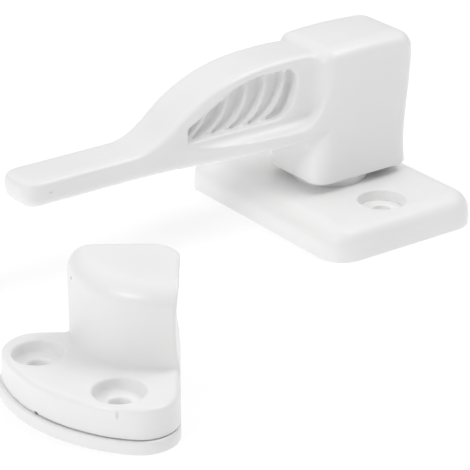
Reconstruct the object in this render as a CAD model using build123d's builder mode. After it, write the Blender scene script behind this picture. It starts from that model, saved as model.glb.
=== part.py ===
from build123d import *
import math
import os

os.makedirs("parts", exist_ok=True)

# All sizes are in millimetres and degrees. The origin is on the pivot axis,
# level with the underside of the base plate. The arm of the lever points to -X.

# Base plate
plate_width = 35.4
plate_length = 50.4
plate_height = 6.5
plate_corner_radius = 5.4
plate_edge_radius = 4.0
plate_wall = 3.0
plate_skin = 2.6
plate_core_radius = 2.4
screw_spacing = 33.0
screw_hole_diameter = 4.0
counterbore_diameter = 9.3
counterbore_depth = 2.2
counterbore_rim_radius = 0.3
screw_boss_diameter = 12.6
hub_diameter = 21.0
boss_diameter = 15.0
boss_edge_radius = 0.4

# Swivel
spindle_diameter = 9.9
spindle_clearance = 0.05
block_gap = 1.9
boss_clearance = 0.1
recess_diameter = 16.4
recess_depth = 3.7
washer_diameter = 15.2
washer_thickness = 1.0
washer_bore_clearance = 0.15
spring_thickness = 0.35
spring_clearance = 0.06
spring_cone_height = 0.32
spring_bore_clearance = 0.4
pivot_head_diameter = 7.6
pivot_head_height = 1.7
pivot_head_edge_radius = 0.7
pivot_shank_diameter = 4.0
pivot_shank_length = 13.0
pivot_tip_length = 2.2
pivot_tip_inset = 1.2
pivot_clearance = 0.02
pivot_hole_spare = 1.0
cross_slot_length = 4.2
cross_slot_width = 1.0
cross_slot_depth = 1.1

# Lever block
block_half_width = 8.65
block_height = 27.5
block_back_bottom = 13.8
block_back_waist = 13.5
block_back_top = 14.7
block_front_bottom = -9.7
block_front_top = -7.8
block_crown = 0.5
block_waist_height = 8.5
block_shoulder_height = 21.0
block_corner_radius = 3.3
block_top_radius = 3.1
block_wall = 2.8
block_core_radius = 1.5
spindle_post_diameter = 12.0
core_rib_thickness = 2.0

# Lever arm and bar, with distances from the pivot axis along the arm
tip_reach = 72.7
bar_half_width = 5.0
bar_top = 23.4
bar_bottom = 18.1
bar_end = 48.5
tip_corner_radius = 3.0
arm_crest_drop = 0.8
arm_crest_reach = 17.0
arm_shoulder_reach = 27.0
arm_shoulder_drop = 1.2
arm_slope_reach = 38.6
arm_slope_drop = 6.6
arm_neck_drop = 0.5
arm_end_slope = 0.1
arm_half_width = 5.5
arm_wide_reach = 37.0
arm_inner_reach = 5.0
arm_top_edge_radius = 1.3
arm_bottom_edge_radius = 2.2
arm_root_radius = 3.0

# Flange along the foot of the arm, widening towards the block
flange_tip_reach = 40.5
flange_tip_half_width = 5.3
flange_knee_reach = 26.0
flange_root_inset = 0.15
flange_height = 3.0
flange_slope_radius = 3.6
flange_slope_run = 3.1
flange_slope_rise = 2.4
flange_slope_inset = 0.3
dish_radius = 6.0
dish_reach = 8.3
dish_lean = 22.0
dish_height = 11.0

# Finger pocket in each side of the arm
pocket_right = 12.4
pocket_heel = 14.7
pocket_shoulder = 24.5
pocket_left = 37.7
pocket_top = 33.05
pocket_bottom = 23.45
pocket_heel_height = 5.6
pocket_left_height = 2.8
pocket_heel_radius = 3.6
pocket_nose_radius = 2.6
pocket_shoulder_radius = 16.0
pocket_tip_radius = 0.6
pocket_depth = 2.5
pocket_rim_radius = 0.4
rib_count = 5
rib_first_reach = 14.8
rib_pitch = 4.35
rib_radius = 9.3
rib_foot_offset = 0.6
rib_start_angle = -85.0
rib_sweep = 110.0
rib_width = 1.0
rib_height = 1.3

# Keeper, in its own axes: the arcs share one centre, the flat sides face +X and +Y
keeper_x = -66.75
keeper_y = -41.25
keeper_turn = -34.5
keeper_radius = 29.5
keeper_side = 1.7
keeper_base_height = 5.8
keeper_end_radius = 6.5
keeper_heel_radius = 5.0
keeper_rim_radius = 1.0
post_length = 17.3
post_width = 15.8
post_top = 24.6
post_slope_drop = 1.8
post_top_radius = 4.2
post_lip_radius = 0.9
post_core_wall = 3.2
post_core_top = 17.5
cove_depth = 0.6
cove_height = 19.0
cove_lip = 0.4
keeper_hole_radius = 23.7
keeper_hole_half_angle = 24.5
keeper_diagonal = 225.0
keeper_counterbore_diameter = 8.9
keeper_counterbore_depth = 2.2
spacer_rim_radius = 0.4
spacer_thickness = 2.3
spacer_oversize = 0.35
spacer_shift = 0.35
spacer_hole_clearance = 1.2

# Turns that the quarter-round outlines are drawn with
half_turn = 180.0
quarter_turn = 90.0

# Picking of edges: an edge counts as upright above this share of rise
upright_share = 0.9
pick_margin = 0.2

block_bottom = plate_height + block_gap
block_top = block_bottom + block_height
arm_top = block_top - arm_crest_drop
flange_top = bar_bottom + flange_height
flange_root_half_width = block_half_width - flange_root_inset
dish_top = flange_top + dish_height
dish_lean_angle = math.radians(dish_lean)
dish_rise = dish_radius * (1 - math.sin(dish_lean_angle))
dish_run = dish_radius * math.cos(dish_lean_angle)
dish_top_reach = dish_reach - (dish_height - dish_rise) * math.tan(dish_lean_angle)
boss_top = block_bottom - boss_clearance
spindle_bottom = recess_depth - spring_thickness - spring_cone_height - spring_clearance
washer_bottom = spindle_bottom - washer_thickness
head_bottom = washer_bottom - pivot_head_height
shank_top = washer_bottom + pivot_shank_length
core_front = block_front_top + block_wall
core_back = block_back_waist - block_wall
core_middle = (core_front + core_back) / 2
core_length = core_back - core_front

# Base plate: pillow-edged plate with a swivel boss, cored from below
with BuildPart() as base_plate:
    with BuildSketch(Plane.XY) as plate_outline:
        RectangleRounded(plate_width, plate_length, plate_corner_radius)
    extrude(amount=plate_height)
    plate_rim = base_plate.faces().sort_by(Axis.Z)[-1].edges()
    fillet(plate_rim, radius=plate_edge_radius)
    with BuildSketch(Plane.XY.offset(plate_height - plate_skin)) as boss_outline:
        Circle(boss_diameter / 2)
    extrude(amount=boss_top - plate_height + plate_skin)
    boss_rim = base_plate.faces().sort_by(Axis.Z)[-1].edges()
    fillet(boss_rim, radius=boss_edge_radius)
    with BuildSketch(Plane.XY) as plate_core:
        RectangleRounded(
            plate_width - 2 * plate_wall,
            plate_length - 2 * plate_wall,
            plate_core_radius,
        )
        Circle(hub_diameter / 2, mode=Mode.SUBTRACT)
        with Locations((0, screw_spacing / 2), (0, -screw_spacing / 2)):
            Circle(screw_boss_diameter / 2, mode=Mode.SUBTRACT)
    extrude(amount=plate_height - plate_skin, mode=Mode.SUBTRACT)
    with BuildSketch(Plane.XY) as spindle_bore:
        Circle(spindle_diameter / 2 + spindle_clearance)
    extrude(amount=boss_top, mode=Mode.SUBTRACT)
    with BuildSketch(Plane.XY) as washer_recess:
        Circle(recess_diameter / 2)
    extrude(amount=recess_depth, mode=Mode.SUBTRACT)
    with BuildSketch(Plane.XY) as plate_holes:
        with Locations((0, screw_spacing / 2), (0, -screw_spacing / 2)):
            Circle(screw_hole_diameter / 2)
    extrude(amount=plate_height, mode=Mode.SUBTRACT)
    with BuildSketch(Plane.XY.offset(plate_height)) as plate_counterbores:
        with Locations((0, screw_spacing / 2), (0, -screw_spacing / 2)):
            Circle(counterbore_diameter / 2)
    extrude(amount=-counterbore_depth, mode=Mode.SUBTRACT)
    counterbore_rims = [
        e for e in base_plate.edges().filter_by(GeomType.CIRCLE)
        if abs(e.radius - counterbore_diameter / 2) < pick_margin
        and e.center().Z > plate_height - pick_margin
    ]
    fillet(counterbore_rims, radius=counterbore_rim_radius)

base_plate.part.label = "base_plate"
export_step(base_plate.part, "parts/base_plate.step")

# Arm and bar: the side profile and the plan profile cut one another
side_plane = Plane.XZ.offset(-2 * arm_half_width)
with BuildPart() as arm:
    with BuildSketch(side_plane) as arm_side:
        with BuildLine() as arm_side_line:
            bar_under = Line((-arm_inner_reach, bar_bottom), (-tip_reach, bar_bottom))
            tip_end = Line(bar_under @ 1, (-tip_reach, bar_top))
            bar_upper = Line(tip_end @ 1, (-bar_end, bar_top))
            arm_upper = Spline(
                bar_upper @ 1,
                (-arm_slope_reach, arm_top - arm_slope_drop),
                (-arm_shoulder_reach, arm_top - arm_shoulder_drop),
                (-arm_crest_reach, arm_top),
                (-arm_inner_reach, arm_top - arm_neck_drop),
                tangents=[(1, arm_end_slope), (1, -arm_end_slope)],
            )
            Line(arm_upper @ 1, bar_under @ 0)
        make_face()
    extrude(amount=4 * arm_half_width)
    with BuildSketch(Plane.XY) as arm_plan:
        with BuildLine() as arm_plan_line:
            near_bar = Line((-tip_reach, -bar_half_width), (-bar_end, -bar_half_width))
            near_taper = Spline(
                near_bar @ 1,
                (-arm_wide_reach, -arm_half_width),
                tangents=[(1, 0), (1, 0)],
            )
            near_arm = Line(near_taper @ 1, (-arm_inner_reach, -arm_half_width))
            inner_end = Line(near_arm @ 1, (-arm_inner_reach, arm_half_width))
            far_arm = Line(inner_end @ 1, (-arm_wide_reach, arm_half_width))
            far_taper = Spline(
                far_arm @ 1,
                (-bar_end, bar_half_width),
                tangents=[(-1, 0), (-1, 0)],
            )
            far_bar = Line(far_taper @ 1, (-tip_reach, bar_half_width))
            Line(far_bar @ 1, near_bar @ 0)
        make_face()
    extrude(amount=2 * arm_top, mode=Mode.INTERSECT)
    tip_edges = arm.edges().filter_by(Axis.Z).group_by(Axis.X)[0]
    fillet(tip_edges, radius=tip_corner_radius)
    under_edges = [
        e for e in arm.edges()
        if abs(e.tangent_at(0.5).Z) < upright_share
        and e.center().Z < bar_bottom + pick_margin
        and e.center().X < -arm_inner_reach - pick_margin
        and (abs(e.center().Y) > bar_half_width / 2 or e.center().X < pick_margin - tip_reach)
    ]
    fillet(under_edges, radius=arm_bottom_edge_radius)
    upper_edges = [
        e for e in arm.edges()
        if abs(e.tangent_at(0.5).Z) < upright_share
        and e.center().Z > bar_top - pick_margin
        and e.center().X < -arm_inner_reach - pick_margin
        and (abs(e.center().Y) > bar_half_width / 2 or e.center().X < pick_margin - tip_reach)
    ]
    fillet(upper_edges, radius=arm_top_edge_radius)

# Dish: the hollow over the flange, which slopes up to the arm and curves up to the block
section_plane = Plane.YZ.offset(-flange_tip_reach)
block_plane = Plane.XZ.offset(-block_half_width)
with BuildPart() as dish:
    with BuildSketch(section_plane) as dish_section:
        with BuildLine() as dish_section_line:
            far_floor = Line(
                (2 * flange_root_half_width, flange_top),
                (arm_half_width + flange_slope_run, flange_top),
            )
            far_slope = RadiusArc(
                far_floor @ 1,
                (arm_half_width - flange_slope_inset, flange_top + flange_slope_rise),
                flange_slope_radius,
            )
            middle_floor = Line(
                far_slope @ 1,
                (flange_slope_inset - arm_half_width, flange_top + flange_slope_rise),
            )
            near_slope = RadiusArc(
                middle_floor @ 1,
                (-arm_half_width - flange_slope_run, flange_top),
                flange_slope_radius,
            )
            Polyline(
                near_slope @ 1,
                (-2 * flange_root_half_width, flange_top),
                (-2 * flange_root_half_width, 2 * dish_top),
                (2 * flange_root_half_width, 2 * dish_top),
                far_floor @ 0,
            )
        make_face()
    extrude(amount=flange_tip_reach)
    with BuildSketch(block_plane) as dish_side:
        with BuildLine() as dish_side_line:
            dish_floor = Line((-2 * flange_tip_reach, flange_top), (-dish_reach - dish_run, flange_top))
            dish_end = TangentArc(
                dish_floor @ 1,
                (-dish_reach, flange_top + dish_rise),
                tangent=dish_floor % 1,
            )
            Polyline(
                dish_end @ 1,
                (-dish_top_reach, dish_top),
                (-dish_top_reach, 2 * dish_top),
                (-2 * flange_tip_reach, 2 * dish_top),
                dish_floor @ 0,
            )
        make_face()
    extrude(amount=2 * block_half_width, mode=Mode.INTERSECT)

# Flange: its plan widens from the arm to the block
with BuildPart() as flange:
    with BuildSketch(Plane.XY.offset(bar_bottom)) as flange_plan:
        with BuildLine() as flange_plan_line:
            near_flange = Bezier(
                (-flange_tip_reach, -flange_tip_half_width),
                (-flange_knee_reach, -flange_root_half_width),
                (-arm_inner_reach, -flange_root_half_width),
            )
            flange_end = Line(near_flange @ 1, (-arm_inner_reach, flange_root_half_width))
            far_flange = Bezier(
                flange_end @ 1,
                (-flange_knee_reach, flange_root_half_width),
                (-flange_tip_reach, flange_tip_half_width),
            )
            Line(far_flange @ 1, near_flange @ 0)
        make_face()
    extrude(amount=dish_top - bar_bottom)
    add(dish.part, mode=Mode.SUBTRACT)
    flange_foot = [
        e for e in flange.faces().sort_by(Axis.Z)[0].edges()
        if abs(e.center().Y) > pick_margin
    ]
    fillet(flange_foot, radius=arm_bottom_edge_radius)

# Lever block
with BuildPart() as block:
    with BuildSketch(block_plane) as block_side:
        with BuildLine() as block_side_line:
            block_under = Line((block_front_bottom, block_bottom), (block_back_bottom, block_bottom))
            block_back = Spline(
                block_under @ 1,
                (block_back_waist, block_bottom + block_waist_height),
                (block_back_top, block_bottom + block_shoulder_height),
                (block_back_top, block_top - block_crown),
            )
            block_upper = ThreePointArc(
                block_back @ 1,
                ((block_back_top + block_front_top) / 2, block_top),
                (block_front_top, block_top - block_crown),
            )
            Line(block_upper @ 1, block_under @ 0)
        make_face()
    extrude(amount=2 * block_half_width)
    upright_edges = [e for e in block.edges() if abs(e.tangent_at(0.5).Z) > upright_share]
    fillet(upright_edges, radius=block_corner_radius)
    crown_edges = block.faces().sort_by(Axis.Z)[-1].edges()
    fillet(crown_edges, radius=block_top_radius)

# Finger pockets: one leaf-shaped prism on each side
pocket_plane = Plane.XZ.offset(2 * arm_half_width)
with BuildPart() as pocket:
    with BuildSketch(pocket_plane) as pocket_outline:
        with BuildLine() as pocket_line:
            Polyline(
                (-pocket_left, pocket_bottom),
                (-pocket_heel, pocket_bottom),
                (-pocket_right, pocket_bottom + pocket_heel_height),
                (-pocket_right, pocket_top),
                (-pocket_shoulder, pocket_top),
                (-pocket_left, pocket_bottom + pocket_left_height),
                close=True,
            )
        make_face()
        tip_corners = pocket_outline.vertices().sort_by(Axis.X)[0:2]
        fillet(tip_corners, radius=pocket_tip_radius)
        shoulder_corner = pocket_outline.vertices().sort_by_distance((-pocket_shoulder, pocket_top, 0))[0]
        fillet(shoulder_corner, radius=pocket_shoulder_radius)
        nose_corner = pocket_outline.vertices().sort_by_distance((-pocket_right, pocket_top, 0))[0]
        fillet(nose_corner, radius=pocket_nose_radius)
        heel_top = (-pocket_right, pocket_bottom + pocket_heel_height, 0)
        heel_corners = [
            pocket_outline.vertices().sort_by_distance(heel_top)[0],
            pocket_outline.vertices().sort_by_distance((-pocket_heel, pocket_bottom, 0))[0],
        ]
        fillet(heel_corners, radius=pocket_heel_radius)
    extrude(amount=-arm_half_width - pocket_depth)

# Grip ribs on the floor of the near pocket
rib_centre_height = pocket_bottom + rib_radius - rib_foot_offset
rib_plane = Plane.XZ.offset(arm_half_width - pocket_depth)
with BuildPart() as ribs:
    for rib_index in range(rib_count):
        rib_centre = -rib_first_reach - rib_index * rib_pitch - rib_radius
        with BuildSketch(rib_plane) as rib_outline:
            with BuildLine() as rib_line:
                CenterArc(
                    (rib_centre, rib_centre_height),
                    rib_radius,
                    start_angle=rib_start_angle,
                    arc_size=rib_sweep,
                )
            trace(line_width=rib_width)
        extrude(amount=rib_height)
    add(pocket.part, mode=Mode.INTERSECT)

# Lever: block, arm, flange and spindle in one moulding
with BuildPart() as lever:
    add(block.part)
    add(arm.part)
    root_edges = [
        e for e in lever.edges()
        if block_front_bottom - pick_margin < e.center().X < block_front_top + block_top_radius
        and bar_bottom - pick_margin < e.center().Z < arm_top
        and abs(e.center().Y) < arm_half_width + pick_margin
    ]
    fillet(root_edges, radius=arm_root_radius)
    add(flange.part)
    with BuildSketch(Plane.XY.offset(block_bottom)) as block_core:
        with Locations((core_middle, 0)):
            RectangleRounded(core_length, 2 * (block_half_width - block_wall), block_core_radius)
        Circle(spindle_post_diameter / 2, mode=Mode.SUBTRACT)
        Rectangle(block_height, core_rib_thickness, mode=Mode.SUBTRACT)
        Rectangle(core_rib_thickness, block_height, mode=Mode.SUBTRACT)
    extrude(amount=block_height - block_wall - block_crown, mode=Mode.SUBTRACT)
    with BuildSketch(Plane.XY.offset(spindle_bottom)) as spindle_outline:
        Circle(spindle_diameter / 2)
    extrude(amount=block_bottom + core_rib_thickness - spindle_bottom)
    with BuildSketch(Plane.XY.offset(spindle_bottom)) as pilot_hole:
        Circle(pivot_shank_diameter / 2 + pivot_clearance)
    extrude(amount=shank_top + pivot_hole_spare - spindle_bottom, mode=Mode.SUBTRACT)
    add(pocket.part, mode=Mode.SUBTRACT)
    add(mirror(pocket.part, about=Plane.XZ), mode=Mode.SUBTRACT)
    pocket_rims = [
        e for e in lever.edges()
        if -pocket_left - pick_margin < e.center().X < -pocket_right + pick_margin
        and pocket_bottom - pick_margin < e.center().Z < pocket_top + pick_margin
        and abs(abs(e.position_at(0).Y) - arm_half_width) < pick_margin
        and abs(abs(e.position_at(1).Y) - arm_half_width) < pick_margin
    ]
    fillet(pocket_rims, radius=pocket_rim_radius)
    add(ribs.part)
    add(mirror(ribs.part, about=Plane.XZ))

lever.part.label = "lever"
export_step(lever.part, "parts/lever.step")

# Flat washer on the end of the spindle
with BuildPart() as pivot_washer:
    with BuildSketch(Plane.XY.offset(washer_bottom)) as washer_outline:
        Circle(washer_diameter / 2)
        Circle(pivot_shank_diameter / 2 + washer_bore_clearance, mode=Mode.SUBTRACT)
    extrude(amount=washer_thickness)

pivot_washer.part.label = "pivot_washer"
export_step(pivot_washer.part, "parts/pivot_washer.step")

# Conical spring washer round the spindle
spring_inner = spindle_diameter / 2 + spring_bore_clearance
spring_outer = washer_diameter / 2
spring_top = recess_depth
with BuildPart() as spring_washer:
    with BuildSketch(Plane.XZ) as spring_section:
        with BuildLine() as spring_line:
            Polyline(
                (spring_inner, spring_top),
                (spring_inner, spring_top - spring_thickness),
                (spring_outer, spring_top - spring_thickness - spring_cone_height),
                (spring_outer, spring_top - spring_cone_height),
                close=True,
            )
        make_face()
    revolve(axis=Axis.Z)

spring_washer.part.label = "spring_washer"
export_step(spring_washer.part, "parts/spring_washer.step")

# Pivot screw, driven up into the spindle from below
with BuildPart() as pivot_screw:
    with BuildSketch(Plane.XY.offset(head_bottom)) as head_outline:
        Circle(pivot_head_diameter / 2)
    extrude(amount=pivot_head_height)
    fillet(pivot_screw.edges().sort_by(Axis.Z)[0], radius=pivot_head_edge_radius)
    with BuildSketch(Plane.XY.offset(washer_bottom)) as shank_outline:
        Circle(pivot_shank_diameter / 2)
    extrude(amount=pivot_shank_length)
    chamfer(pivot_screw.edges().sort_by(Axis.Z)[-1], length=pivot_tip_length, length2=pivot_tip_inset)
    with BuildSketch(Plane.XY.offset(head_bottom)) as cross_slot:
        Rectangle(cross_slot_length, cross_slot_width)
        Rectangle(cross_slot_width, cross_slot_length)
    extrude(amount=cross_slot_depth, mode=Mode.SUBTRACT)

pivot_screw.part.label = "pivot_screw"
export_step(pivot_screw.part, "parts/pivot_screw.step")

# Keeper planes, turned about the vertical, and the places of its two screw holes
keeper_angle = math.radians(keeper_turn)
keeper_x_dir = (math.cos(keeper_angle), math.sin(keeper_angle), 0)
keeper_cross_dir = (-math.cos(keeper_angle), -math.sin(keeper_angle), 0)
keeper_plane = Plane(
    origin=(keeper_x, keeper_y, spacer_thickness),
    x_dir=keeper_x_dir,
    z_dir=(0, 0, 1),
)
keeper_deck = spacer_thickness + keeper_base_height
keeper_deck_plane = keeper_plane.offset(keeper_base_height)
keeper_front_dir = (math.sin(keeper_angle), -math.cos(keeper_angle), 0)
keeper_side_plane = Plane(origin=(keeper_x, keeper_y, 0), x_dir=keeper_x_dir, z_dir=keeper_front_dir)
keeper_front_plane = Plane(
    origin=(keeper_x, keeper_y, 0),
    x_dir=keeper_front_dir,
    z_dir=keeper_cross_dir,
).offset(-post_length)
hole_angles = [keeper_diagonal - keeper_hole_half_angle, keeper_diagonal + keeper_hole_half_angle]
hole_spots = [
    (keeper_hole_radius * math.cos(math.radians(a)), keeper_hole_radius * math.sin(math.radians(a)))
    for a in hole_angles
]

# Post: a quarter of an ellipse with a sloping crown and a shallow cove in its flat side
post_side = keeper_side + cove_lip
with BuildPart() as post:
    with BuildSketch(keeper_deck_plane) as post_outline:
        with BuildLine() as post_line:
            post_arc = EllipticalCenterArc(
                (0, 0),
                post_length,
                post_width,
                start_angle=half_turn,
                arc_size=quarter_turn,
            )
            post_toe = Line(post_arc @ 1, (post_side, -post_width))
            post_flat = Line(post_toe @ 1, (post_side, 0))
            Line(post_flat @ 1, post_arc @ 0)
        make_face()
        heel_corner = post_outline.vertices().sort_by_distance((post_side, 0, 0))[0]
        fillet(heel_corner, radius=keeper_heel_radius)
    extrude(amount=post_top - keeper_deck)
    with BuildSketch(keeper_front_plane) as slope_cut:
        with BuildLine() as slope_line:
            Polyline(
                (0, post_top),
                (post_width, post_top - post_slope_drop),
                (2 * post_width, post_top - 2 * post_slope_drop),
                (2 * post_width, 2 * post_top),
                (0, 2 * post_top),
                close=True,
            )
        make_face()
    extrude(amount=3 * post_length, mode=Mode.SUBTRACT)
    crown_arc = post.faces().sort_by(Axis.Z)[-1].edges().sort_by(SortBy.LENGTH)[-1]
    fillet(crown_arc, radius=post_top_radius)
    with BuildSketch(keeper_side_plane) as cove_cut:
        with BuildLine() as cove_line:
            cove_curve = Spline(
                (keeper_side, keeper_deck),
                (keeper_side - cove_depth, cove_height),
                (post_side, post_top + cove_lip),
            )
            Polyline(
                cove_curve @ 1,
                (post_side + post_width, post_top + cove_lip),
                (post_side + post_width, keeper_deck),
                cove_curve @ 0,
            )
        make_face()
    extrude(amount=2 * post_width, both=True, mode=Mode.SUBTRACT)
    crown_face = post.faces().sort_by(Axis.Z)[-1]
    crown_lip = [e for e in crown_face.edges() if e.geom_type != GeomType.BSPLINE]
    fillet(crown_lip, radius=post_lip_radius)

# Keeper: quarter-round base with a solid seat under the hollow post
with BuildPart() as keeper:
    with BuildSketch(keeper_plane) as keeper_outline:
        with BuildLine() as keeper_line:
            keeper_arc = CenterArc(
                (0, 0),
                keeper_radius,
                start_angle=half_turn,
                arc_size=quarter_turn + math.degrees(math.asin(keeper_side / keeper_radius)),
            )
            keeper_flat = Line(keeper_arc @ 1, (keeper_side, 0))
            Line(keeper_flat @ 1, keeper_arc @ 0)
        make_face()
        end_corners = [
            keeper_outline.vertices().sort_by_distance((-keeper_radius, 0, 0))[0],
            keeper_outline.vertices().sort_by_distance((keeper_side, -keeper_radius, 0))[0],
        ]
        fillet(end_corners, radius=keeper_end_radius)
        heel_corner = keeper_outline.vertices().sort_by_distance((keeper_side, 0, 0))[0]
        fillet(heel_corner, radius=keeper_heel_radius)
    extrude(amount=keeper_base_height)
    keeper_rim = keeper.faces().sort_by(Axis.Z)[-1].edges()
    fillet(keeper_rim, radius=keeper_rim_radius)
    with BuildSketch(keeper_plane) as seat_cut:
        with BuildLine() as seat_line:
            seat_arc = EllipticalCenterArc(
                (0, 0),
                post_length,
                post_width,
                start_angle=half_turn,
                arc_size=quarter_turn,
            )
            Polyline(
                seat_arc @ 1,
                (2 * keeper_side, -post_width),
                (2 * keeper_side, post_width),
                (-post_length, post_width),
                seat_arc @ 0,
            )
        make_face()
    extrude(amount=2 * keeper_base_height, mode=Mode.SUBTRACT)
    with BuildSketch(keeper_plane) as seat_outline:
        with BuildLine() as seat_edge:
            seat_curve = EllipticalCenterArc(
                (0, 0),
                post_length,
                post_width,
                start_angle=half_turn,
                arc_size=quarter_turn,
            )
            Polyline(
                seat_curve @ 1,
                (keeper_side, -post_width),
                (keeper_side, 0),
                seat_curve @ 0,
            )
        make_face()
        heel_corner = seat_outline.vertices().sort_by_distance((keeper_side, 0, 0))[0]
        fillet(heel_corner, radius=keeper_heel_radius)
    extrude(amount=keeper_base_height)
    add(post.part)
    with BuildSketch(keeper_plane) as post_core:
        Ellipse(post_length - post_core_wall, post_width - post_core_wall)
        with Locations((keeper_side - post_core_wall - post_length, -post_core_wall - post_length)):
            Rectangle(2 * post_length, 2 * post_length, mode=Mode.INTERSECT)
    extrude(amount=post_core_top - spacer_thickness, mode=Mode.SUBTRACT)
    with BuildSketch(keeper_plane) as keeper_holes:
        with Locations(*hole_spots):
            Circle(screw_hole_diameter / 2)
    extrude(amount=keeper_base_height, mode=Mode.SUBTRACT)
    with BuildSketch(keeper_deck_plane) as keeper_counterbores:
        with Locations(*hole_spots):
            Circle(keeper_counterbore_diameter / 2)
    extrude(amount=-keeper_counterbore_depth, mode=Mode.SUBTRACT)
    keeper_rims = [
        e for e in keeper.edges().filter_by(GeomType.CIRCLE)
        if abs(e.radius - keeper_counterbore_diameter / 2) < pick_margin
        and e.center().Z > keeper_deck - pick_margin
    ]
    fillet(keeper_rims, radius=counterbore_rim_radius)

keeper.part.label = "keeper"
export_step(keeper.part, "parts/keeper.step")

# Spacer plate under the keeper, a little larger and lying slightly to one side
spacer_radius = keeper_radius + spacer_oversize
spacer_side = keeper_side + spacer_oversize
spacer_plane = Plane(
    origin=(
        keeper_x - spacer_shift * math.cos(keeper_angle),
        keeper_y - spacer_shift * math.sin(keeper_angle),
        0,
    ),
    x_dir=keeper_x_dir,
    z_dir=(0, 0, 1),
)
with BuildPart() as spacer_plate:
    with BuildSketch(spacer_plane) as spacer_outline:
        with BuildLine() as spacer_line:
            spacer_arc = CenterArc(
                (0, 0),
                spacer_radius,
                start_angle=half_turn,
                arc_size=quarter_turn + math.degrees(math.asin(spacer_side / spacer_radius)),
            )
            spacer_flat = Line(spacer_arc @ 1, (spacer_side, 0))
            Line(spacer_flat @ 1, spacer_arc @ 0)
        make_face()
        end_corners = [
            spacer_outline.vertices().sort_by_distance((-spacer_radius, 0, 0))[0],
            spacer_outline.vertices().sort_by_distance((spacer_side, -spacer_radius, 0))[0],
        ]
        fillet(end_corners, radius=keeper_end_radius)
        heel_corner = spacer_outline.vertices().sort_by_distance((spacer_side, 0, 0))[0]
        fillet(heel_corner, radius=keeper_heel_radius)
        with Locations(*hole_spots):
            Circle((screw_hole_diameter + spacer_hole_clearance) / 2, mode=Mode.SUBTRACT)
    extrude(amount=spacer_thickness)
    spacer_rim = spacer_plate.faces().sort_by(Axis.Z)[-1].outer_wire().edges()
    fillet(spacer_rim, radius=spacer_rim_radius)

spacer_plate.part.label = "spacer_plate"
export_step(spacer_plate.part, "parts/spacer_plate.step")
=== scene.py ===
# %% [markdown]
# # A white cabinet latch
# The latch is four white mouldings: a base plate, a swivelling lever with a ribbed
# finger pocket, a quarter-round keeper, and a thin spacer plate under the keeper.
# A steel screw and two washers hold the lever from below. The solids already have the
# true sizes, so this lesson never moves them. It gives them a camera, light and finish,
# and shows the lever and the keeper by softened copies.

# %% Load the fixed frame
import math

import bpy
from mathutils import Matrix, Vector


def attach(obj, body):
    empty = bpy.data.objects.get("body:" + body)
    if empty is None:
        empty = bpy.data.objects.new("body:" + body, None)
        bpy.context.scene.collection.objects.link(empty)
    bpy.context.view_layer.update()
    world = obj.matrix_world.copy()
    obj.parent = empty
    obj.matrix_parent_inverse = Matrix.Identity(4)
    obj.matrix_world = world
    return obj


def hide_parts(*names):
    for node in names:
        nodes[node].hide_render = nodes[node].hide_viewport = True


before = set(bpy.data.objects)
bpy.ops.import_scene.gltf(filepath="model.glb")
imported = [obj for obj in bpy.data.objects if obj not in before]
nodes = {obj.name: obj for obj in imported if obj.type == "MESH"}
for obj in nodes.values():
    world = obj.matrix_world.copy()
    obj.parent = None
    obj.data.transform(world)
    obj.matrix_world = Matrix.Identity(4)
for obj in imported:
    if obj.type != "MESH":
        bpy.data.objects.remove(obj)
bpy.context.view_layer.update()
print("solids:", sorted(nodes))

# %% [markdown]
# The camera comes first, because every later choice is judged through it. It could be
# turned by hand until the picture looks right. Here its turn and tilt are given as two
# angles, and its axes follow from them: right, up, and back towards the viewer. A long
# lens far away keeps the edges of the block almost parallel, as in a catalogue picture.

# %% Camera at the viewing angle of the photograph
view_turn = math.radians(-35.95)
view_tilt = math.radians(24.31)
pivot_right_of_axis = 0.018766
pivot_above_axis = 0.006484
camera_distance = 0.480
focal_length_px = 2400.0
picture_width_px = 470.0

back = Vector((
    math.sin(view_turn) * math.cos(view_tilt),
    -math.cos(view_turn) * math.cos(view_tilt),
    math.sin(view_tilt),
))
right = Vector((math.cos(view_turn), math.sin(view_turn), 0.0))
up = back.cross(right)

lens_data = bpy.data.cameras.new("catalogue_lens")
lens_data.sensor_width = 36.0
lens_data.lens = focal_length_px / picture_width_px * lens_data.sensor_width
lens_data.clip_start = 0.01
lens_data.clip_end = 20.0
camera = bpy.data.objects.new("catalogue_camera", lens_data)
camera.matrix_world = Matrix((
    (right.x, up.x, back.x, 0.0),
    (right.y, up.y, back.y, 0.0),
    (right.z, up.z, back.z, 0.0),
    (0.0, 0.0, 0.0, 1.0),
))
camera.location = back * camera_distance - right * pivot_right_of_axis - up * pivot_above_axis
bpy.context.scene.collection.objects.link(camera)
bpy.context.scene.camera = camera
print("lens in mm:", round(lens_data.lens, 1))

# %% [markdown]
# Every finish below is a small network of nodes. A few helpers keep them readable. One adds
# a node and fills its sockets, and one joins two sockets. The others each make one common
# step and give back its result: a noise, a change of range, a blend of two tones, a bump.

# %% Helpers for node networks
def add_node(tree, kind, **values):
    node = tree.nodes.new(kind)
    for name, value in values.items():
        if hasattr(node, name):
            setattr(node, name, value)
        else:
            node.inputs[name.replace("_", " ")].default_value = value
    return node


def join(tree, source, target):
    tree.links.new(source, target)


def noise(tree, place, scale, detail, roughness=0.5):
    node = add_node(tree, "ShaderNodeTexNoise", Scale=scale, Detail=detail, Roughness=roughness)
    join(tree, place, node.inputs["Vector"])
    return node.outputs["Fac"]


def ranged(tree, value, from_low, from_high, to_low, to_high, ease="LINEAR"):
    node = add_node(
        tree, "ShaderNodeMapRange", interpolation_type=ease,
        From_Min=from_low, From_Max=from_high, To_Min=to_low, To_Max=to_high,
    )
    join(tree, value, node.inputs["Value"])
    return node.outputs["Result"]


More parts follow.
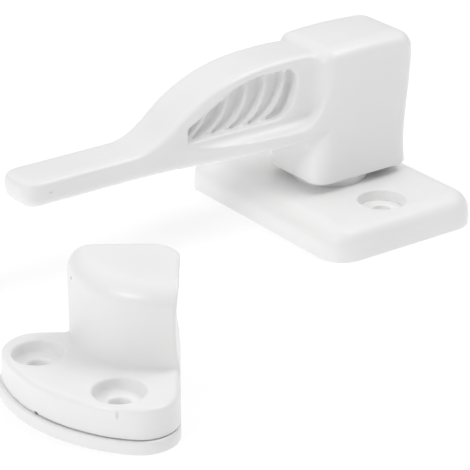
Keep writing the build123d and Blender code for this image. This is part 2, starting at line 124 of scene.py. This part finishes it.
def two_tones(tree, factor, dark, light, start=0.0, end=1.0):
    node = tree.nodes.new("ShaderNodeValToRGB")
    for element, position, tone in zip(node.color_ramp.elements, (start, end), (dark, light)):
        element.position = position
        element.color = (*tone, 1.0)
    join(tree, factor, node.inputs["Fac"])
    return node.outputs["Color"]


def bumped(tree, height, strength, depth, under=None):
    node = add_node(tree, "ShaderNodeBump", Strength=strength, Distance=depth)
    join(tree, height, node.inputs["Height"])
    if under is not None:
        join(tree, under, node.inputs["Normal"])
    return node.outputs["Normal"]


def new_finish(name):
    finish = bpy.data.materials.new(name)
    finish.use_nodes = True
    tree = finish.node_tree
    tree.nodes.clear()
    output = tree.nodes.new("ShaderNodeOutputMaterial")
    shader = tree.nodes.new("ShaderNodeBsdfPrincipled")
    join(tree, shader.outputs["BSDF"], output.inputs["Surface"])
    return finish, tree, shader


def dress(piece, finish):
    piece.data.materials.clear()
    piece.data.materials.append(finish)


print("helpers ready")

# %% [markdown]
# The lever and the keeper are thick mouldings with no sharp edge anywhere: the ridge of the
# dish beside the finger pocket, the foot of the keeper's post and its upright edge are all
# rounded. The solids have these forms, but some of their edges are crisp. A bevel on so many
# curved edges would break, so each piece is copied, cut into even small faces and relaxed a
# few times, as a mould is polished. The copy stands for its solid and rides on its body.
# Each region below says in millimetres how much a point is relaxed, from 0 to 1: little in
# the finger pocket, whose ribs stay crisp, and most on the bar and the block's crown.

# %% Polished copies of the lever and the keeper
pocket_low, pocket_high = (-38.4, -5.6, 23.0), (-12.0, 5.6, 33.4)
keeper_holes = ((-89.75, -35.52), (-86.16, -54.84))
hole_zone = 6.0
tight_joint_top, tight_joint_front = 3.6, -45.0


def ramp(value, start, length):
    return max(0.0, min(1.0, (value - start) / length))


def outside_pocket(x, y, z):
    in_pocket = all(low < v < high for low, v, high in zip(pocket_low, (x, y, z), pocket_high))
    return 0.12 if in_pocket else 1.0


def block_crown(x, y, z):
    return ramp(z, 27.0, 4.0) * ramp(x, 2.0, 5.0)


def bar_edges(x, y, z):
    return ramp(-x, 44.0, 6.0)


def keeper_edges(x, y, z):
    near_hole = min(math.hypot(x - hole_x, y - hole_y) for hole_x, hole_y in keeper_holes)
    tight_joint = z < tight_joint_top and y > tight_joint_front
    return 0.15 if tight_joint else 0.35 if near_hole < hole_zone else 1.0


def settle(piece):
    graph = bpy.context.evaluated_depsgraph_get()
    settled = bpy.data.meshes.new_from_object(piece.evaluated_get(graph))
    piece.modifiers.clear()
    piece.data = settled


def even_copy(node, name, face_size):
    piece = bpy.data.objects.new(name, nodes[node].data.copy())
    bpy.context.scene.collection.objects.link(piece)
    even = piece.modifiers.new("even_faces", "REMESH")
    even.mode = "VOXEL"
    even.voxel_size = face_size
    even.use_smooth_shade = True
    settle(piece)
    return piece


def relax(piece, region, passes):
    group = piece.vertex_groups.new(name="polished")
    for vertex in piece.data.vertices:
        weight = region(*(1000.0 * v for v in vertex.co))
        if weight > 0.0:
            group.add([vertex.index], weight, "REPLACE")
    polish = piece.modifiers.new("polish", "SMOOTH")
    polish.factor = 0.5
    polish.iterations = passes
    polish.vertex_group = group.name
    settle(piece)
    piece.vertex_groups.clear()


def stand_for(piece, node, body):
    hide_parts(node)
    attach(piece, body)
    print(piece.name, "faces:", len(piece.data.polygons))


lever_piece = even_copy("lever", "polished_lever", 0.00033)
relax(lever_piece, outside_pocket, 10)
relax(lever_piece, block_crown, 50)
relax(lever_piece, bar_edges, 24)
stand_for(lever_piece, "lever", "lever")
keeper_piece = even_copy("keeper", "polished_keeper", 0.00026)
relax(keeper_piece, keeper_edges, 16)
stand_for(keeper_piece, "keeper", "base")

# %% [markdown]
# The plastic is a plain white moulding compound with a satin shine. One flat white would
# look like plaster, so three things vary: the tone drifts a little where the melt flowed,
# the shine is patchy at the scale of a fingertip, and a very low grain with a slow ripple
# breaks up the reflections. The ripple is the sinking of a thick moulding as it cools, and
# it is strongest on the plate. Light also enters the plastic a little and fills its corners.

# %% White moulded plastic
white_tone = 0.93
flow_dark = (white_tone * 0.97, white_tone * 0.97, white_tone * 0.968)
flow_light = (white_tone, white_tone, white_tone * 0.998)
grain_strength, grain_depth = 0.10, 0.00004
ripple_depth = 0.0002


def moulded_white(name, shine, ripple_strength, offset):
    finish, tree, shader = new_finish(name)
    place = tree.nodes.new("ShaderNodeTexCoord")
    shift = add_node(tree, "ShaderNodeMapping", Location=offset)
    join(tree, place.outputs["Object"], shift.inputs["Vector"])
    spot = shift.outputs["Vector"]

    flow = noise(tree, spot, 55.0, 3.0)
    colour = two_tones(tree, flow, flow_dark, flow_light, 0.30, 0.72)
    patch = noise(tree, spot, 210.0, 4.0, 0.6)
    roughness = ranged(tree, patch, 0.3, 0.7, shine - 0.05, shine + 0.07)
    ripple = bumped(tree, noise(tree, spot, 130.0, 1.0, 0.4), ripple_strength, ripple_depth)
    grain = bumped(tree, noise(tree, spot, 2600.0, 2.0), grain_strength, grain_depth, ripple)
    join(tree, colour, shader.inputs["Base Color"])
    join(tree, roughness, shader.inputs["Roughness"])
    join(tree, grain, shader.inputs["Normal"])

    shader.inputs["IOR"].default_value = 1.49
    shader.inputs["Specular IOR Level"].default_value = 0.5
    shader.inputs["Coat Weight"].default_value = 0.2
    shader.inputs["Coat Roughness"].default_value = 0.22
    shader.inputs["Subsurface Weight"].default_value = 0.35
    shader.inputs["Subsurface Radius"].default_value = (1.0, 0.98, 0.96)
    shader.inputs["Subsurface Scale"].default_value = 0.002
    return finish


white_pieces = {
    "base_plate": moulded_white("plate_white", 0.42, 0.75, (0.0, 0.0, 0.0)),
    "lever": moulded_white("lever_white", 0.345, 0.25, (0.11, 0.03, 0.07)),
    "keeper": moulded_white("keeper_white", 0.34, 0.25, (0.05, 0.21, 0.02)),
    "spacer_plate": moulded_white("spacer_white", 0.40, 0.25, (0.31, 0.07, 0.13)),
}
for node, finish in white_pieces.items():
    dress(nodes[node], finish)
dress(lever_piece, white_pieces["lever"])
dress(keeper_piece, white_pieces["keeper"])
print("white pieces:", list(white_pieces))

# %% [markdown]
# The latch has been handled. The keeper carries a dark speck on the post, a short scuff on the
# side of its foot and a dark spot on the joint with the spacer. Along most of that joint, a
# painted shadow darkens the keeper's lowest edge where the thin gap above the spacer lies in
# shade. The lever has a faint smear near its tip. Each spot could be a picture on the surface.
# Here it is a soft ellipsoid around a point of the piece, so it stays in place from every side.
# The joint shadow is a thin painted band just above the joint.

# %% Marks of handling and a painted joint shadow
# Blends a darker tone into the base colour. It is used for the real marks and for the painted
# joint shadow.
def stain_and_painted_shade(finish, amount, shade):
    tree = finish.node_tree
    shader = next(n for n in tree.nodes if n.type == "BSDF_PRINCIPLED")
    under = shader.inputs["Base Color"].links[0].from_socket
    mix = add_node(tree, "ShaderNodeMix", data_type="RGBA")
    mix.inputs["B"].default_value = (shade, shade, shade, 1.0)
    join(tree, amount, mix.inputs["Factor"])
    join(tree, under, mix.inputs["A"])
    join(tree, mix.outputs["Result"], shader.inputs["Base Color"])


def add_mark(finish, centre, reach, shade, depth):
    tree = finish.node_tree
    place = tree.nodes.new("ShaderNodeTexCoord")
    away = add_node(tree, "ShaderNodeVectorMath", operation="SUBTRACT")
    away.inputs[1].default_value = centre
    shrink = add_node(tree, "ShaderNodeVectorMath", operation="DIVIDE")
    shrink.inputs[1].default_value = reach
    distance = add_node(tree, "ShaderNodeVectorMath", operation="LENGTH")
    join(tree, place.outputs["Object"], away.inputs[0])
    join(tree, away.outputs["Vector"], shrink.inputs[0])
    join(tree, shrink.outputs["Vector"], distance.inputs[0])
    amount = ranged(tree, distance.outputs["Value"], 0.25, 1.0, depth, 0.0, "SMOOTHSTEP")
    stain_and_painted_shade(finish, amount, shade)


# Painted shadow: a dark band on the keeper just above its joint with the spacer, deepest towards
# the front end, standing in for the shade in the gap there.
def add_joint_shadow(finish, joint, height, faint_shadow_from, deep_shadow_from):
    tree = finish.node_tree
    place = tree.nodes.new("ShaderNodeTexCoord")
    split = tree.nodes.new("ShaderNodeSeparateXYZ")
    amount = add_node(tree, "ShaderNodeMath", operation="MULTIPLY")
    join(tree, place.outputs["Object"], split.inputs["Vector"])
    above = ranged(tree, split.outputs["Z"], joint, joint + height, 1.0, 0.0, "SMOOTHSTEP")
    along = ranged(tree, split.outputs["Y"], deep_shadow_from, faint_shadow_from, 0.97, 0.25)
    join(tree, above, amount.inputs[0])
    join(tree, along, amount.inputs[1])
    stain_and_painted_shade(finish, amount.outputs["Value"], 0.02)


lever_white = white_pieces["lever"]
keeper_white = white_pieces["keeper"]
post_speck = ((-0.08303, -0.03588, 0.02015), (0.0004, 0.0004, 0.0004), 0.12, 0.70)
foot_scuff = ((-0.08980, -0.05960, 0.00670), (0.0004, 0.0004, 0.0011), 0.45, 0.34)
joint_spot = ((-0.09604, -0.04476, 0.00260), (0.0008, 0.0008, 0.0004), 0.02, 0.95)
bar_smear = ((-0.06767, -0.00495, 0.02104), (0.0007, 0.0006, 0.0003), 0.42, 0.30)
for mark in (post_speck, foot_scuff, joint_spot):
    add_mark(keeper_white, *mark)
# Painted shadow along the keeper's joint with the spacer.
add_joint_shadow(keeper_white, joint=0.0023, height=0.00032, faint_shadow_from=-0.0440, deep_shadow_from=-0.0462)
add_mark(lever_white, *bar_smear)
print("marks: speck, scuff, spot and joint line on the keeper, smear on the bar")

# %% [markdown]
# The screw and washers sit in the recess under the plate. They are bright zinc plated
# steel, and the spring washer is darker oiled spring steel. Turned and stamped parts carry
# fine concentric lines, so the shine and a fine bump follow rings about the pivot axis.

# %% Zinc plate and spring steel
def ringed_steel(name, dark, light, shine):
    finish, tree, shader = new_finish(name)
    place = tree.nodes.new("ShaderNodeTexCoord")
    spot = place.outputs["Object"]
    rings = add_node(tree, "ShaderNodeTexWave", Scale=900.0, Distortion=1.2, Detail=2.0)
    rings.wave_type = "RINGS"
    rings.rings_direction = "Z"
    join(tree, spot, rings.inputs["Vector"])
    bloom = noise(tree, spot, 420.0, 4.0, 0.6)
    colour = two_tones(tree, bloom, dark, light)
    roughness = ranged(tree, rings.outputs["Fac"], 0.0, 1.0, shine - 0.06, shine + 0.08)
    lines = bumped(tree, rings.outputs["Fac"], 0.15, 0.00003)
    join(tree, colour, shader.inputs["Base Color"])
    join(tree, roughness, shader.inputs["Roughness"])
    join(tree, lines, shader.inputs["Normal"])
    shader.inputs["Metallic"].default_value = 1.0
    return finish


zinc = ringed_steel("zinc_plate", (0.56, 0.58, 0.60), (0.74, 0.75, 0.76), 0.30)
spring_steel = ringed_steel("oiled_spring_steel", (0.20, 0.20, 0.21), (0.32, 0.32, 0.33), 0.34)
dress(nodes["pivot_screw"], zinc)
dress(nodes["pivot_washer"], zinc)
dress(nodes["spring_washer"], spring_steel)
print("steel pieces dressed")

# %% [markdown]
# The floor is a sheet of paper on a light table. The glow from below makes it brighter than the
# plastic, so the latch stands out from it as a pale grey. Its shadows stay weak, and some light
# comes up through the screw holes.

# %% Paper floor
floor_half = 3.0
floor_drop = 0.00002
paper_dark, paper_light = (0.45, 0.45, 0.45), (0.48, 0.48, 0.48)
paper_glow = 0.60

floor_data = bpy.data.meshes.new("paper_floor")
corners = [(-1, -1), (1, -1), (1, 1), (-1, 1)]
floor_data.from_pydata(
    [(floor_half * x, floor_half * y, 0.0) for x, y in corners],
    [],
    [(0, 1, 2, 3)],
)
floor = bpy.data.objects.new("paper_floor", floor_data)
floor.location.z = -floor_drop
bpy.context.scene.collection.objects.link(floor)
paper, tree, shader = new_finish("white_paper")
place = tree.nodes.new("ShaderNodeTexCoord")
fibre = noise(tree, place.outputs["Object"], 90.0, 3.0)
join(tree, two_tones(tree, fibre, paper_dark, paper_light), shader.inputs["Base Color"])
shader.inputs["Roughness"].default_value = 0.9
shader.inputs["Specular IOR Level"].default_value = 0.1
shader.inputs["Emission Color"].default_value = (1.0, 1.0, 1.0, 1.0)
shader.inputs["Emission Strength"].default_value = paper_glow
dress(floor, paper)
print("floor laid")

# %% [markdown]
# The light is a white room, brightest at its ceiling, with two softboxes. The room fills
# the shadows, and a dark flag at the right of the viewer keeps the near faces a shade
# greyer than the tops. The larger box hangs overhead and to the right, and draws a thin
# bright line along the crest of the arm. The smaller one stands low on the left, almost in
# line with the arm. It lights the faces that look to the left, and the arm throws its soft
# shadow on the edge of the plate. Its reflection is the highlight on the keeper's shoulder.

# %% Soft studio light
def softbox(name, spot, aim, width, length, power):
    light_data = bpy.data.lights.new(name, "AREA")
    light_data.shape = "RECTANGLE"
    light_data.size = width
    light_data.size_y = length
    light_data.energy = power
    light = bpy.data.objects.new(name, light_data)
    light.location = spot
    light.rotation_mode = "QUATERNION"
    light.rotation_quaternion = (Vector(aim) - Vector(spot)).to_track_quat("-Z", "Y")
    bpy.context.scene.collection.objects.link(light)


latch_middle = (-0.035, -0.02, 0.015)
softbox("overhead_softbox", (0.27, -0.20, 0.62), latch_middle, width=0.34, length=0.34, power=1.45)
softbox("left_softbox", (-0.75, -0.18, 0.40), latch_middle, width=0.20, length=0.12, power=1.25)

room_wall, room_ceiling = 0.28, 0.98
flag_side = (0.35, -0.94, 0.0)
flag_shade = 0.18
room = bpy.data.worlds.new("white_room")
room.use_nodes = True
tree = room.node_tree
sky = tree.nodes["Background"]
sky.inputs["Color"].default_value = (1.0, 1.0, 1.0, 1.0)
place = tree.nodes.new("ShaderNodeTexCoord")
split = tree.nodes.new("ShaderNodeSeparateXYZ")
toward_flag = add_node(tree, "ShaderNodeVectorMath", operation="DOT_PRODUCT")
toward_flag.inputs[1].default_value = flag_side
strength = add_node(tree, "ShaderNodeMath", operation="MULTIPLY")
join(tree, place.outputs["Generated"], split.inputs["Vector"])
join(tree, place.outputs["Generated"], toward_flag.inputs[0])
ceiling = ranged(tree, split.outputs["Z"], 0.0, 1.0, room_wall, room_ceiling)
flag = ranged(tree, toward_flag.outputs["Value"], 0.0, 1.0, 1.0, flag_shade)
join(tree, ceiling, strength.inputs[0])
join(tree, flag, strength.inputs[1])
join(tree, strength.outputs["Value"], sky.inputs["Strength"])
bpy.context.scene.world = room
bpy.context.scene.view_settings.view_transform = "Standard"
